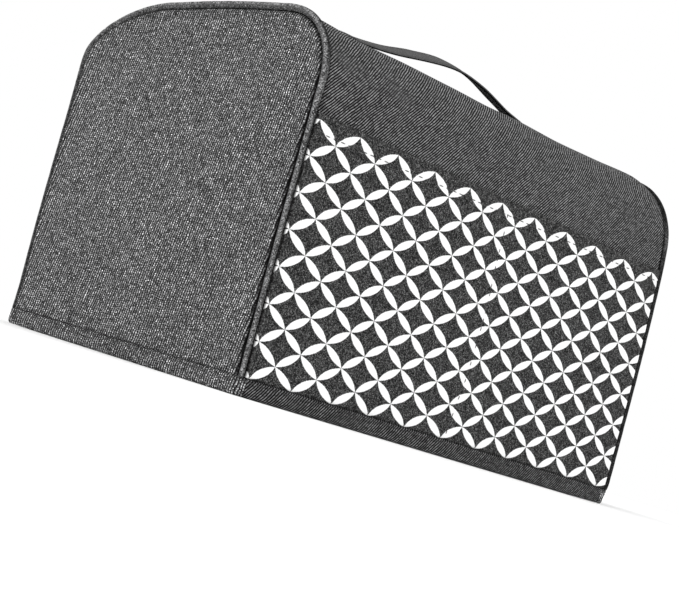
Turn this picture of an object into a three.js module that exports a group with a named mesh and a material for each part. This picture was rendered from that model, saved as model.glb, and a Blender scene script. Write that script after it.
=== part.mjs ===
// A fitted cloth cover: an arched, open-bottomed box of heavy cloth that stands
// on its own hem.
// Seven pieces: two arched end panels, one long strip that makes the front, the
// roof and the back, a printed double pocket on the front, a piping bead round
// each end panel, and a flat carrying strap that arches over the roof.
// Millimetres. +X runs along the cover, -Y is the pocket side, +Z is up.

import * as THREE from "three";
import { mergeVertices } from "three/addons/utils/BufferGeometryUtils.js";

// ---- driving sizes -------------------------------------------------------
const LENGTH = 293.5; // between the faces of the two end panels at the hem
const DEPTH = 215.5; // front to back at the hem
const ROOF_FRONT = 199; // height of the roof behind the front shoulder
const ROOF_BACK = 197.4; // and before the back one

const CLOTH = 2.2; // the two-layer cloth of the panels
const POCKET_CLOTH = 1.0; // the single printed layer
const GAP = 0.3; // clearance between neighbouring pieces

const FRONT_LEAN = 8.1; // the front leans in by this much at its shoulder
const BACK_LEAN = 11.8; // the back leans out by this much at its shoulder, more steeply low down
const BACK_CURVE = 0.7;
const FRONT_SHOULDER = { across: 45.5, down: 43.6 }; // half axes of the elliptical shoulders
const BACK_SHOULDER = { across: 74.7, down: 34 };
const FRONT_FULLNESS = 0.9; // under 1 the shoulder is squarer than an ellipse, over 1 flatter
const BACK_FULLNESS = 1.12;
const CROWN = 1.0; // rise of the roof between the shoulders

const LEFT_BULGE = 0.7; // the end panels belly outwards at mid height
const RIGHT_BULGE = 2.6;
const BULGE_HEIGHT = 190;
const CORNER_PULL = { in: 1.6, down: 2.2 }; // at the top of the right end
const FRONT_BELLY = 0.9; // the soft front stands out a little between the ends
const ROOF_SAG = 1.5; // and the roof sinks a little between them
const ROOF_DROP = 2.2; // the left end of the roof sits this much lower than the right

const HEM = { height: 8.6, step: 0.5, proud: 1.2 }; // the turned-up hem
const HEM_WRAP = 4.7; // how far the end panels' hems wrap along the front and the back

const BEAD = { radius: 1.4, full: 1.9, inset: 1.5, bottom: 9.5 }; // the piping
const BEAD_CLEAR = 3.7; // the long strip's ends, inside the end panels' faces
const PANEL_DRAW = BEAD.radius + 0.45; // the end panels' border, inside the profile

const POCKET = { bottom: 9.4, top: 144.6, gape: 0.7 };

const STRAP = { width: 20, thick: 1.6, centreY: -8.6, tab: 13 };
// Height of the strap over the hem and its roll towards the front, at each
// distance along the cover from its middle.
const STRAP_STATIONS = [
  { along: -123.5, height: 196.9, roll: 2 },
  { along: -103.5, height: 198.6, roll: 7 },
  { along: -81.5, height: 207.8, roll: 12 },
  { along: -57.5, height: 209.2, roll: 14 },
  { along: -33.5, height: 212.5, roll: 14 },
  { along: -9.5, height: 217.8, roll: 16.4 },
  { along: 14.5, height: 221.5, roll: 18 },
  { along: 38.5, height: 220, roll: 21 },
  { along: 62.5, height: 213.8, roll: 20 },
  { along: 86.5, height: 207.8, roll: 14 },
  { along: 106.5, height: 199.6, roll: 5 },
  { along: 118, height: 198.6, roll: 2 },
];

// Mesh fineness.
const CELLS = {
  length: 16,
  profile: 46,
  endAcross: 12,
  endUp: 32,
  pocketUp: 10,
  bead: 60,
  beadRound: 8,
  strap: 42,
};

// ---- the arched profile --------------------------------------------------
// Outer outline of a cross-section, front hem over the roof to back hem, as a
// smooth curve in the YZ plane.
function profileCurve() {
  const frontTop = ROOF_FRONT - FRONT_SHOULDER.down;
  const backTop = ROOF_BACK - BACK_SHOULDER.down;
  const frontY = -DEPTH / 2;
  const backY = DEPTH / 2;
  const roofFront = frontY + FRONT_LEAN + FRONT_SHOULDER.across;
  const roofBack = backY + BACK_LEAN - BACK_SHOULDER.across;
  const points = [];
  const push = (y, z) => points.push(new THREE.Vector3(0, y, z));
  const WALL = 10;
  const SHOULDER = 12;
  const ROOF = 8;
  for (let i = 0; i < WALL; i++)
    push(frontY + (FRONT_LEAN * i) / WALL, (frontTop * i) / WALL);
  for (let i = 0; i < SHOULDER; i++) {
    const t = ((Math.PI / 2) * i) / SHOULDER;
    push(
      roofFront - FRONT_SHOULDER.across * Math.cos(t) ** FRONT_FULLNESS,
      frontTop + FRONT_SHOULDER.down * Math.sin(t) ** FRONT_FULLNESS,
    );
  }
  for (let i = 0; i <= ROOF; i++) {
    const t = i / ROOF;
    push(
      THREE.MathUtils.lerp(roofFront, roofBack, t),
      THREE.MathUtils.lerp(ROOF_FRONT, ROOF_BACK, t) + CROWN * Math.sin(Math.PI * t),
    );
  }
  for (let i = SHOULDER - 1; i >= 0; i--) {
    const t = ((Math.PI / 2) * i) / SHOULDER;
    push(
      roofBack + BACK_SHOULDER.across * Math.cos(t) ** BACK_FULLNESS,
      backTop + BACK_SHOULDER.down * Math.sin(t) ** BACK_FULLNESS,
    );
  }
  for (let i = WALL - 1; i >= 0; i--)
    push(backY + BACK_LEAN * (i / WALL) ** BACK_CURVE, (backTop * i) / WALL);
  const curve = new THREE.CatmullRomCurve3(points, false, "centripetal");
  curve.arcLengthDivisions = 1200;
  return curve;
}

const PROFILE = profileCurve();
const GIRTH = PROFILE.getLength();

// Point of the profile at share s of its length, moved outwards by `out`.
function profileAt(s, out) {
  const u = THREE.MathUtils.clamp(s, 0, 1);
  const at = PROFILE.getPointAt(u);
  const tangent = PROFILE.getTangentAt(u);
  // The first and last stretch is straight: keep its normal level, so that the
  // hem's faces end level with the surface it stands on.
  let ny = -tangent.z;
  let nz = tangent.y;
  if (at.z < HEM.height + 4) {
    ny = at.y < 0 ? -1 : 1;
    nz = 0;
  }
  return new THREE.Vector3(0, at.y + ny * out, at.z + nz * out);
}

// ---- how the soft cloth departs from the straight shape ------------------
const ease = (t) => {
  const c = THREE.MathUtils.clamp(t, 0, 1);
  return c * c * (3 - 2 * c);
};

function soften(v) {
  const along = v.x / (LENGTH / 2); // -1 at the left end, 1 at the right
  const up = THREE.MathUtils.clamp(v.z / BULGE_HEIGHT, 0, 1);
  const belly = Math.sin(Math.PI * up);
  const across = v.y / (DEPTH / 2);
  const near = 1 - along * along;
  let { x, y, z } = v;
  x += (along < 0 ? -LEFT_BULGE : RIGHT_BULGE) * along * along * belly;
  y -= FRONT_BELLY * near * belly * ease(-across) * 1.6;
  y += FRONT_BELLY * near * belly * ease(across);
  z -= ROOF_SAG * near * ease((v.z - 150) / 45) * (1 - 0.6 * across * across);
  z -= ROOF_DROP * ease((v.z - 148) / 42) * ((1 - along) / 2);
  // The right end's top corner is pulled in and down.
  const corner = ease((along - 0.88) / 0.12) * ease((v.z - 140) / 45);
  x -= CORNER_PULL.in * corner;
  z -= CORNER_PULL.down * corner;
  // Hem: the back left corner flares out, the front right one is drawn in.
  const low = 1 - ease(v.z / 26);
  y += 0.8 * low * ease((across - 0.55) / 0.45) * ease((-along - 0.5) / 0.5);
  x -= 0.8 * low * ease((across - 0.2) / 0.8) * ease((-along - 0.6) / 0.4);
  x -= 2.6 * (1 - ease(v.z / 14)) * ease((along - 0.8) / 0.2) * ease(-across);
  // Slow ripples along the long sides of the hem.
  y +=
    0.5 *
    (1 - ease(v.z / 60)) *
    Math.sign(across) *
    ease((Math.abs(across) - 0.6) / 0.4) *
    Math.sin(along * 7.3 + 0.6);
  v.set(x, y, z);
}

// ---- building blocks -----------------------------------------------------
// A closed body from a three.js geometry: shared corners, one orientation.
function closed(geometry) {
  const bare = new THREE.BufferGeometry();
  bare.setAttribute("position", geometry.getAttribute("position"));
  if (geometry.index) bare.setIndex(geometry.index);
  const merged = mergeVertices(bare, 1e-4);
  const index = merged.index.array;
  const p = merged.getAttribute("position");
  const kept = [];
  let volume = 0;
  const a = new THREE.Vector3();
  const b = new THREE.Vector3();
  const c = new THREE.Vector3();
  for (let i = 0; i < index.length; i += 3) {
    const [i0, i1, i2] = [index[i], index[i + 1], index[i + 2]];
    if (i0 === i1 || i1 === i2 || i0 === i2) continue;
    kept.push(i0, i1, i2);
    a.fromBufferAttribute(p, i0);
    b.fromBufferAttribute(p, i1);
    c.fromBufferAttribute(p, i2);
    volume += a.dot(b.cross(c)) / 6;
  }
  if (volume < 0)
    for (let i = 0; i < kept.length; i += 3)
      [kept[i + 1], kept[i + 2]] = [kept[i + 2], kept[i + 1]];
  merged.setIndex(kept);
  merged.computeVertexNormals();
  return merged;
}

// A sheet of cloth: a box of cells whose corners are placed by
// place(across, up, through), each running from 0 to 1.
function sheet(cellsAcross, cellsUp, place) {
  const box = new THREE.BoxGeometry(1, 1, 1, cellsAcross, cellsUp, 1);
  const p = box.getAttribute("position");
  for (let i = 0; i < p.count; i++) {
    const v = place(p.getX(i) + 0.5, p.getY(i) + 0.5, p.getZ(i) + 0.5);
    soften(v);
    p.setXYZ(i, v.x, v.y, v.z);
  }
  return closed(box);
}

// Profile shares of the rows of a piece that starts at the hem: the hem's own
// rows first, then even steps.
const HEM_ROWS = [0, HEM.height, HEM.height + HEM.step].map((z) => z / GIRTH);

// ---- main panel: front, roof and back in one strip -----------------------
function mainPanelGeometry() {
  const n = CELLS.profile;
  const rows = [...HEM_ROWS];
  const inner = n - 4; // even cells between the two hems
  for (let i = 1; i < inner; i++)
    rows.push(
      THREE.MathUtils.lerp(HEM_ROWS[2], 1 - HEM_ROWS[2], i / inner),
    );
  rows.push(1 - HEM_ROWS[2], 1 - HEM_ROWS[1], 1);
  return sheet(CELLS.length, n, (across, up, through) => {
    const row = Math.round(up * n);
    const inHem = row <= 1 || row >= n - 1;
    const out = through * (inHem ? HEM.proud + CLOTH : CLOTH) - CLOTH;
    const end = LENGTH / 2 - (inHem ? HEM_WRAP + GAP : BEAD_CLEAR);
    const v = profileAt(rows[row], out);
    v.x = (across * 2 - 1) * end;
    return v;
  });
}

// ---- end panels ----------------------------------------------------------
// An arched panel: each row is a chord from the front of the profile to the
// matching place at its back, drawn in to leave room for the piping.
function endPanelGeometry(side) {
  const n = CELLS.endUp;
  const TOP = 0.485; // share of the girth at the last, short chord
  const rows = [...HEM_ROWS];
  for (let i = 1; i <= n - 2; i++)
    rows.push(THREE.MathUtils.lerp(HEM_ROWS[2], TOP, i / (n - 2)));
  const m = CELLS.endAcross;
  return sheet(m, n, (across, up, through) => {
    const row = Math.round(up * n);
    const inHem = row <= 1;
    const s = rows[row];
    const draw = inHem ? HEM.proud : -PANEL_DRAW;
    const front = profileAt(s, draw);
    const back = profileAt(1 - s, draw);
    // Two columns close to each edge, where the hem turns round the corner, and
    // even ones between.
    const column = Math.round(across * m);
    const fromEdge = Math.min(column, m - column);
    const turned = HEM.proud + CLOTH;
    const width = back.y - front.y;
    let step = Math.min([0, turned, turned + 0.5][fromEdge] ?? 1, width * 0.06 * fromEdge);
    if (fromEdge > 2)
      step = THREE.MathUtils.lerp(
        Math.min(turned + 0.5, width * 0.12),
        width / 2,
        (fromEdge - 2) / (m / 2 - 2),
      );
    const t = (column <= m / 2 ? step : width - step) / width;
    const v = front.lerp(back, t);
    const out = inHem ? HEM.proud : 0;
    const inside = inHem && fromEdge < 2 ? HEM_WRAP : CLOTH;
    const depth = THREE.MathUtils.lerp(inside, -out, through);
    v.x = side * (LENGTH / 2 - depth);
    return v;
  });
}

// ---- piping --------------------------------------------------------------
// A round bead along the corner between an end panel and the main panel. It is
// fuller over the shoulders and the roof than down the two sides.
function pipingGeometry(side) {
  const start = BEAD.bottom / GIRTH;
  const bead = new THREE.CylinderGeometry(1, 1, 1, CELLS.beadRound, CELLS.bead);
  const p = bead.getAttribute("position");
  for (let i = 0; i < p.count; i++) {
    const s = THREE.MathUtils.lerp(start, 1 - start, p.getY(i) + 0.5);
    const radius = THREE.MathUtils.lerp(
      BEAD.radius,
      BEAD.full,
      ease((profileAt(s, 0).z - 90) / 60),
    );
    const v = profileAt(s, radius - BEAD.radius + p.getX(i) * radius);
    v.x = side * (LENGTH / 2 - BEAD.inset) + p.getZ(i) * radius;
    soften(v);
    p.setXYZ(i, v.x, v.y, v.z);
  }
  return closed(bead);
}

// ---- front pocket --------------------------------------------------------
// The printed layer lies on the front, from the hem to its open top edge, and
// stands off a little there between the side seams and the middle seam.
function pocketGeometry() {
  const end = LENGTH / 2 - BEAD_CLEAR - 0.1;
  return sheet(CELLS.length, CELLS.pocketUp, (across, up, through) => {
    const z = THREE.MathUtils.lerp(POCKET.bottom, POCKET.top, up);
    const gape =
      POCKET.gape *
      Math.abs(Math.sin(2 * Math.PI * across)) *
      ease((up - 0.72) / 0.28);
    const v = profileAt(z / GIRTH, 0);
    v.y -= GAP + gape + through * POCKET_CLOTH;
    v.x = (across * 2 - 1) * end;
    return v;
  });
}

// ---- carrying strap ------------------------------------------------------
function strapGeometry() {
  const line = new THREE.CatmullRomCurve3(
    STRAP_STATIONS.map((s) => new THREE.Vector3(s.along, 0, s.height)),
    false,
    "centripetal",
  );
  const rollAt = (x) => {
    for (let i = 1; i < STRAP_STATIONS.length; i++) {
      const [a, b] = [STRAP_STATIONS[i - 1], STRAP_STATIONS[i]];
      if (x <= b.along)
        return THREE.MathUtils.lerp(
          a.roll,
          b.roll,
          ease((x - a.along) / (b.along - a.along)),
        );
    }
    return STRAP_STATIONS.at(-1).roll;
  };
  // The tabs lie flat on the roof beyond each end of the arch.
  const arch = line.getLength();
  const whole = arch + 2 * STRAP.tab;
  const box = new THREE.BoxGeometry(1, 1, 1, CELLS.strap, 1, 1);
  const p = box.getAttribute("position");
  for (let i = 0; i < p.count; i++) {
    const run = (p.getX(i) + 0.5) * whole - STRAP.tab;
    const u = THREE.MathUtils.clamp(run / arch, 0, 1);
    const at = line.getPointAt(u);
    const tangent = line.getTangentAt(u);
    const over = run < 0 ? run : run > arch ? run - arch : 0;
    let roll = (rollAt(at.x) * Math.PI) / 180;
    if (over !== 0) {
      tangent.set(1, 0, 0);
      at.x += over;
      roll = 0;
    }
    const lift = GAP + 0.5; // under the strap's lower face, over the roof
    const normal = new THREE.Vector3(-tangent.z, 0, tangent.x);
    const acrossDir = new THREE.Vector3(0, Math.cos(roll), 0).addScaledVector(
      normal,
      Math.sin(roll),
    );
    const outDir = new THREE.Vector3().crossVectors(tangent, acrossDir);
    const v = at
      .clone()
      .addScaledVector(acrossDir, p.getY(i) * STRAP.width)
      .addScaledVector(outDir, (p.getZ(i) + 0.5) * STRAP.thick);
    v.y += STRAP.centreY;
    v.z += lift;
    p.setXYZ(i, v.x, v.y, v.z);
  }
  return closed(box);
}

// ---- the scene -----------------------------------------------------------
const cloth = (color, roughness = 0.93) =>
  new THREE.MeshStandardMaterial({ color, roughness, metalness: 0 });

const HEATHER = 0x636466; // mid-grey mottled linen weave
const TWILL = 0x47484a; // darker twill of the long strip
const PRINT = 0x8a8b8c; // dark ground with white petals, seen from afar
const STRAP_GREY = 0x55565a;

const parts = [
  ["main_panel", mainPanelGeometry(), cloth(TWILL)],
  ["end_panel_left", endPanelGeometry(-1), cloth(HEATHER)],
  ["end_panel_right", endPanelGeometry(1), cloth(HEATHER)],
  ["piping_left", pipingGeometry(-1), cloth(HEATHER)],
  ["piping_right", pipingGeometry(1), cloth(HEATHER)],
  ["front_pocket", pocketGeometry(), cloth(PRINT, 0.85)],
  ["handle_strap", strapGeometry(), cloth(STRAP_GREY)],
];

const cover = new THREE.Group();
cover.name = "fitted_cover";
for (const [name, geometry, material] of parts) {
  const mesh = new THREE.Mesh(geometry, material);
  mesh.name = name;
  cover.add(mesh);
}

// Origin: middle of the bounding box in plan, at the level of the hem.
const bounds = new THREE.Box3().setFromObject(cover);
const middle = bounds.getCenter(new THREE.Vector3());
cover.position.set(-middle.x, -middle.y, -bounds.min.z);

export default cover;
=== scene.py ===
"""Looks of a fitted, arched cloth cover that stands on its own hem.

Shapes are worked out in millimetres, in a frame whose x runs along the cover
from its middle, y from front to back and z up from the hem; SHIFT moves them
into the row's frame. Every sheet is shaped in code, from the same named sizes
as the solids.
"""

import math

import bpy
import numpy as np
from mathutils import Matrix


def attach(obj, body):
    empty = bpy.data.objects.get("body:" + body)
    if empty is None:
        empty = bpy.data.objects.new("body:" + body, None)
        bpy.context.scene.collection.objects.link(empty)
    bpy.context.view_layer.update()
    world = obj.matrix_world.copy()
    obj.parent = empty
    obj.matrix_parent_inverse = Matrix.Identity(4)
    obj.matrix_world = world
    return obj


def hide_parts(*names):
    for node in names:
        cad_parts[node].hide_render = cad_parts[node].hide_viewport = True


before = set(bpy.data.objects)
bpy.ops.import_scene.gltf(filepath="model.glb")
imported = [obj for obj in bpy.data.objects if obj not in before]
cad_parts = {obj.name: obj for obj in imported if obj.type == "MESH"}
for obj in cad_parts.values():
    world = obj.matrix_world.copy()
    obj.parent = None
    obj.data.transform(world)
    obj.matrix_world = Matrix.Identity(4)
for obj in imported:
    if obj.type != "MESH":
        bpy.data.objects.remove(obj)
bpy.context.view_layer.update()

# ---- sizes, in millimetres ------------------------------------------------
SHIFT = np.array([-0.2971, -6.2030, 0.0])
LENGTH, DEPTH = 293.5, 215.5
LEFT_X = 143.55  # from the pocket's visible left edge to the middle
CLOTH = 2.2
POCKET_CLOTH = 1.0
GAP = 0.3
ROOF_FRONT, ROOF_BACK, CROWN = 199.0, 197.4, 1.0
FRONT_LEAN, BACK_LEAN, BACK_CURVE = 8.1, 11.8, 0.7
FRONT_ACROSS, FRONT_DOWN = 45.5, 43.6
BACK_ACROSS, BACK_DOWN = 74.7, 34.0
FRONT_FULLNESS, BACK_FULLNESS = 0.9, 1.12
CORNER_IN, CORNER_DOWN = 1.6, 2.2
LEFT_BULGE, RIGHT_BULGE, BULGE_HEIGHT = 0.7, 2.6, 190.0
FRONT_BELLY, ROOF_SAG, ROOF_DROP = 0.9, 1.5, 2.2
BEAD_RADIUS, BEAD_FULL, BEAD_INSET, BEAD_BOTTOM = 1.4, 1.9, 1.5, 8.85
MAIN_END = LENGTH / 2 - 3.7  # the long strip's cut ends, beside the bead
PANEL_INSET = 1.8  # the end panels' border, inside the profile
TURN = 1.8  # radius by which an end panel's edge turns into its seam
MAIN_TURN = 0.9  # and the long strip's
POCKET_BOTTOM, POCKET_TOP = 9.4, 144.6
HEM_CORNER = 1.5  # plan radius of the hem's corners
HEM_WRAP = 4.7  # how far the end panels' hems wrap round them

# Outward offset of the turned-up hem at each height: rounded at the fold below,
# a shallow line where it is stitched, a rounded edge above.
HEM_Z = [0, 0.15, 0.4, 0.8, 1.3, 2.0, 3.2, 4.6, 6.0, 6.8, 7.3, 7.8, 8.2, 8.5, 8.75, 9.0, 9.4]
HEM_OUT = [0.0, 0.45, 0.72, 0.95, 1.12, 1.2, 1.26, 1.28, 1.24, 1.12, 1.0, 1.12, 1.14, 1.05, 0.85, 0.35, 0.0]
HEM_STITCH_Z = 7.3


def ease(t):
    t = np.clip(t, 0.0, 1.0)
    return t * t * (3 - 2 * t)


# ---- the arched profile ---------------------------------------------------
def profile_table():
    front_top, back_top = ROOF_FRONT - FRONT_DOWN, ROOF_BACK - BACK_DOWN
    front_y, back_y = -DEPTH / 2, DEPTH / 2
    roof_front = front_y + FRONT_LEAN + FRONT_ACROSS
    roof_back = back_y + BACK_LEAN - BACK_ACROSS
    t = np.linspace(0, 1, 300, endpoint=False)
    q = t * math.pi / 2
    pieces = [
        (front_y + FRONT_LEAN * t, front_top * t),
        (roof_front - FRONT_ACROSS * np.cos(q) ** FRONT_FULLNESS, front_top + FRONT_DOWN * np.sin(q) ** FRONT_FULLNESS),
        (roof_front + (roof_back - roof_front) * t, ROOF_FRONT + (ROOF_BACK - ROOF_FRONT) * t + CROWN * np.sin(math.pi * t)),
        (roof_back + BACK_ACROSS * np.sin(q) ** BACK_FULLNESS, back_top + BACK_DOWN * np.cos(q) ** BACK_FULLNESS),
        (back_y + BACK_LEAN * (1 - t) ** BACK_CURVE, back_top * (1 - t)),
    ]
    y = np.concatenate([p[0] for p in pieces] + [[back_y]])
    z = np.concatenate([p[1] for p in pieces] + [[0.0]])
    # Even steps, then a light smoothing of the places where two pieces meet.
    step = 0.25
    pad = 60
    for _ in range(2):
        s = np.concatenate([[0], np.cumsum(np.hypot(np.diff(y), np.diff(z)))])
        even = np.linspace(0, s[-1], int(s[-1] / step) + 1)
        y, z = np.interp(even, s, y), np.interp(even, s, z)
        k = np.arange(1, pad + 1)
        kernel = np.exp(-0.5 * (np.arange(-pad // 2, pad // 2 + 1) / 10.0) ** 2)
        kernel /= kernel.sum()

        def smooth(v):
            long = np.concatenate([v[0] - (v[1] - v[0]) * k[::-1], v, v[-1] + (v[-1] - v[-2]) * k])
            return np.convolve(long, kernel, "same")[pad:-pad]

        y, z = smooth(y), smooth(z)
    s = np.concatenate([[0], np.cumsum(np.hypot(np.diff(y), np.diff(z)))])
    ty, tz = np.gradient(y, s), np.gradient(z, s)
    size = np.hypot(ty, tz)
    return s, y, z, -tz / size, ty / size


P_S, P_Y, P_Z, P_NY, P_NZ = profile_table()
GIRTH = float(P_S[-1])


def profile_at(s, out=0.0):
    """(y, z) at arc length s, moved outwards by out; near the hem outwards is level."""
    y, z = np.interp(s, P_S, P_Y), np.interp(s, P_S, P_Z)
    ny, nz = np.interp(s, P_S, P_NY), np.interp(s, P_S, P_NZ)
    level = 1 - ease((z - 9) / 8)
    ny = ny * (1 - level) + np.where(y < 0, -1.0, 1.0) * level
    nz = nz * (1 - level)
    return y + ny * out, z + nz * out


def soften(p):
    """How the soft cloth departs from the straight shape, for points (..., 3)."""
    x, y, z = p[..., 0], p[..., 1], p[..., 2]
    along = x / (LENGTH / 2)
    belly = np.sin(math.pi * np.clip(z / BULGE_HEIGHT, 0, 1))
    across = y / (DEPTH / 2)
    near = 1 - along * along
    low = 1 - ease(z / 26)
    nx = x + np.where(along < 0, -LEFT_BULGE, RIGHT_BULGE) * along * along * belly
    nx -= 0.8 * low * ease((across - 0.2) / 0.8) * ease((-along - 0.6) / 0.4)
    nx -= 2.6 * (1 - ease(z / 14)) * ease((along - 0.8) / 0.2) * ease(-across)
    ny = y - FRONT_BELLY * near * belly * ease(-across) * 1.6 + FRONT_BELLY * near * belly * ease(across)
    ny += 0.8 * low * ease((across - 0.55) / 0.45) * ease((-along - 0.5) / 0.5)
    ny += (
        0.5 * (1 - ease(z / 60)) * np.sign(across) * ease((np.abs(across) - 0.6) / 0.4)
        * np.sin(along * 7.3 + 0.6)
    )
    nz = z - ROOF_SAG * near * ease((z - 150) / 45) * (1 - 0.6 * across * across)
    nz = nz - ROOF_DROP * ease((z - 148) / 42) * (1 - along) / 2
    corner = ease((along - 0.88) / 0.12) * ease((z - 140) / 45)
    nx = nx - CORNER_IN * corner
    nz = nz - CORNER_DOWN * corner
    return np.stack([nx, ny, nz], -1)


# Soft, slow unevenness of the cloth: a few long waves at fixed slants.
WAVES = [(0.011, 0.004, 0.30, 0.4), (-0.006, 0.013, 0.22, 2.1), (0.019, 0.010, 0.13, 4.0), (0.008, -0.023, 0.10, 1.2)]


def wave(u, v, phase=0.0):
    return sum(a * np.sin(2 * math.pi * (u * fu + v * fv) + p + phase) for fu, fv, a, p in WAVES)


def turn(t, radius):
    """How far a panel's surface has sunk at distance t from its turned edge."""
    r = np.clip(radius - t, 0, radius)
    return radius - np.sqrt(np.maximum(radius * radius - r * r, 0))


def puckers(t, s, phase=0.0):
    """Small puckers that the seam's stitches draw into the cloth beside them."""
    return 0.2 * np.exp(-t / 4.5) * np.sin(2 * math.pi * s / 8.7 + 1.3 * np.sin(s / 31.0) + phase) * (1 - np.exp(-t / 0.8))


def hem_out(z):
    return np.interp(z, HEM_Z, HEM_OUT)


def crowd(length, near, step):
    """Distances from 0 to length: the listed ones at both ends, even steps between."""
    near = np.asarray(near, float)
    n = max(2, int(round((length - 2 * near[-1]) / step)))
    middle = np.linspace(near[-1], length - near[-1], n + 1)[1:-1]
    return np.concatenate([near, middle, (length - near)[::-1]])


def with_extra(values, centre, reach, step):
    """The same rising list, refined to the given step within reach of centre."""
    keep = values[(values < centre - reach) | (values > centre + reach)]
    return np.sort(np.concatenate([keep, np.arange(centre - reach, centre + reach + step / 2, step)]))


# ---- mesh building --------------------------------------------------------
def make_object(name, verts, faces, attributes=None, materials=(), material_index=None):
    me = bpy.data.meshes.new(name)
    verts = (np.asarray(verts, float) + SHIFT) * 0.001
    me.from_pydata(verts.tolist(), [], [list(map(int, f)) for f in faces])
    me.polygons.foreach_set("use_smooth", [True] * len(me.polygons))
    for key, value in (attributes or {}).items():
        value = np.asarray(value, np.float32)
        if value.ndim == 2:
            me.attributes.new(key, "FLOAT_VECTOR", "POINT").data.foreach_set("vector", value.ravel())
        else:
            me.attributes.new(key, "FLOAT", "POINT").data.foreach_set("value", value)
    for m in materials:
        me.materials.append(m)
    if material_index is not None:
        me.polygons.foreach_set("material_index", np.asarray(material_index, np.int32))
    me.update()
    obj = bpy.data.objects.new(name, me)
    bpy.context.scene.collection.objects.link(obj)
    return obj


def skin(outer, inner):
    """Vertices and quads of the closed sheet between two grids (rows, columns, 3)."""
    r, c = outer.shape[:2]
    idx = np.arange(r * c).reshape(r, c)
    top = np.stack([idx[:-1, :-1], idx[:-1, 1:], idx[1:, 1:], idx[1:, :-1]], -1).reshape(-1, 4)
    n = r * c
    ring = np.concatenate([idx[0, :], idx[1:, -1], idx[-1, -2::-1], idx[-2:0:-1, 0]])
    nxt = np.roll(ring, -1)
    sides = np.stack([nxt, ring, ring + n, nxt + n], -1)
    faces = np.concatenate([top, top[:, ::-1] + n, sides])
    verts = np.concatenate([outer.reshape(-1, 3), inner.reshape(-1, 3)])
    return verts, face_out(verts, faces)


def face_out(verts, faces):
    a, b, c, d = (verts[faces[:, i]] for i in range(4))
    volume = np.einsum("ij,ij->", a, np.cross(b, c)) + np.einsum("ij,ij->", a, np.cross(c, d))
    return faces[:, ::-1] if volume < 0 else faces


def tube(path, radii, sides, up, squash=1.0):
    """A closed tube of quads with pinched ends along path (n, 3)."""
    tangent = np.gradient(path, axis=0)
    tangent /= np.linalg.norm(tangent, axis=1, keepdims=True)
    b = np.cross(tangent, up)
    b /= np.linalg.norm(b, axis=1, keepdims=True)
    n = np.cross(b, tangent)
    ang = np.arange(sides) / sides * 2 * math.pi
    ring = path[:, None] + radii[:, None, None] * (
        np.cos(ang)[None, :, None] * n[:, None] * squash + np.sin(ang)[None, :, None] * b[:, None]
    )
    verts = ring.reshape(-1, 3)
    k = len(path)
    idx = np.arange(k * sides).reshape(k, sides)
    nxt = np.roll(idx, -1, axis=1)
    quads = np.stack([idx[:-1], nxt[:-1], nxt[1:], idx[1:]], -1).reshape(-1, 4)
    caps = [list(idx[0][::-1]), list(idx[-1])]
    return verts, quads, caps


def grow(parts, verts, faces):
    base = parts["n"]
    parts["v"].append(np.asarray(verts))
    parts["f"] += [[int(i) + base for i in f] for f in faces]
    parts["n"] += len(verts)


def new_parts():
    return {"v": [], "f": [], "n": 0}


# ---- surfaces -------------------------------------------------------------
def main_outward(x, s):
    """Outward offset of the long strip's outer face at (x, s)."""
    from_hem = np.minimum(s, GIRTH - s)
    t = MAIN_END - np.abs(x)
    in_hem = 1 - ease((from_hem - 8.75) / 0.6)
    out = hem_out(from_hem)
    above = 1 - in_hem
    out = out - turn(np.maximum(t, 0), MAIN_TURN) * above - turn(np.maximum(t, 0), 0.5) * in_hem
    out = out + puckers(np.maximum(t, 0), s) * above
    calm = 0.35 + 0.65 * ease(from_hem / 25)
    return out + wave(x, s) * calm * ease(t / 12)


def main_x(x, s):
    """The hem's rows stop short of the end panels' hems, which wrap round the corner."""
    from_hem = np.minimum(s, GIRTH - s)
    return x * (1 - (1 - (LENGTH / 2 - HEM_WRAP - 0.15) / MAIN_END) * (1 - ease((from_hem - 8.6) / 0.6)))


def main_outer(x, s):
    y, z = profile_at(s, main_outward(x, s))
    return soften(np.stack([main_x(x, s), y, z], -1))


def main_inner(x, s):
    from_hem = np.minimum(s, GIRTH - s)
    calm = 0.35 + 0.65 * ease(from_hem / 25)
    t = MAIN_END - np.abs(x)
    out = -CLOTH + 0.5 * (1 - ease(from_hem / 0.8)) + wave(x, s) * calm * ease(t / 12)
    y, z = profile_at(s, out)
    return soften(np.stack([main_x(x, s), y, z], -1))


EDGE_STEPS = [0, 0.2, 0.5, 0.9, 1.4, 1.9, 2.5, 3.3, 4.4, 6.0]


def build_main_panel():
    xs = crowd(2 * MAIN_END, EDGE_STEPS, 2.3) - MAIN_END
    rows = crowd(GIRTH, HEM_Z + [10.2, 11.4, 13.0], 2.3)
    S, X = np.meshgrid(rows, xs, indexing="ij")
    outer, inner = main_outer(X, S), main_inner(X, S)
    verts, faces = skin(outer, inner)
    t = MAIN_END - np.abs(X)
    from_hem = np.minimum(S, GIRTH - S)
    high = ease((np.interp(S, P_S, P_Z) - 140) / 45)
    # Painted shade: the seam mask darkens the long strip in the groove beside each bead, wider over the shoulders, and
    # in a line along the hem's top fold.
    seam = np.exp(-((t / (0.7 + 0.9 * high)) ** 2)) * ease((from_hem - 8.5) / 0.6)
    seam = np.maximum(seam, 0.5 * np.exp(-(((from_hem - 9.15) / 0.4) ** 2)))
    cloth = np.stack([X, S, from_hem], -1).reshape(-1, 3)
    # The inner face's seam value of 0.35 is an even painted shade inside the cover.
    return make_object(
        "main_panel_cloth", verts, faces,
        {"cloth": np.concatenate([cloth, cloth]), "seam": np.concatenate([seam.ravel(), np.full(seam.size, 0.35)])},
        [TWILL],
    )


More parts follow.
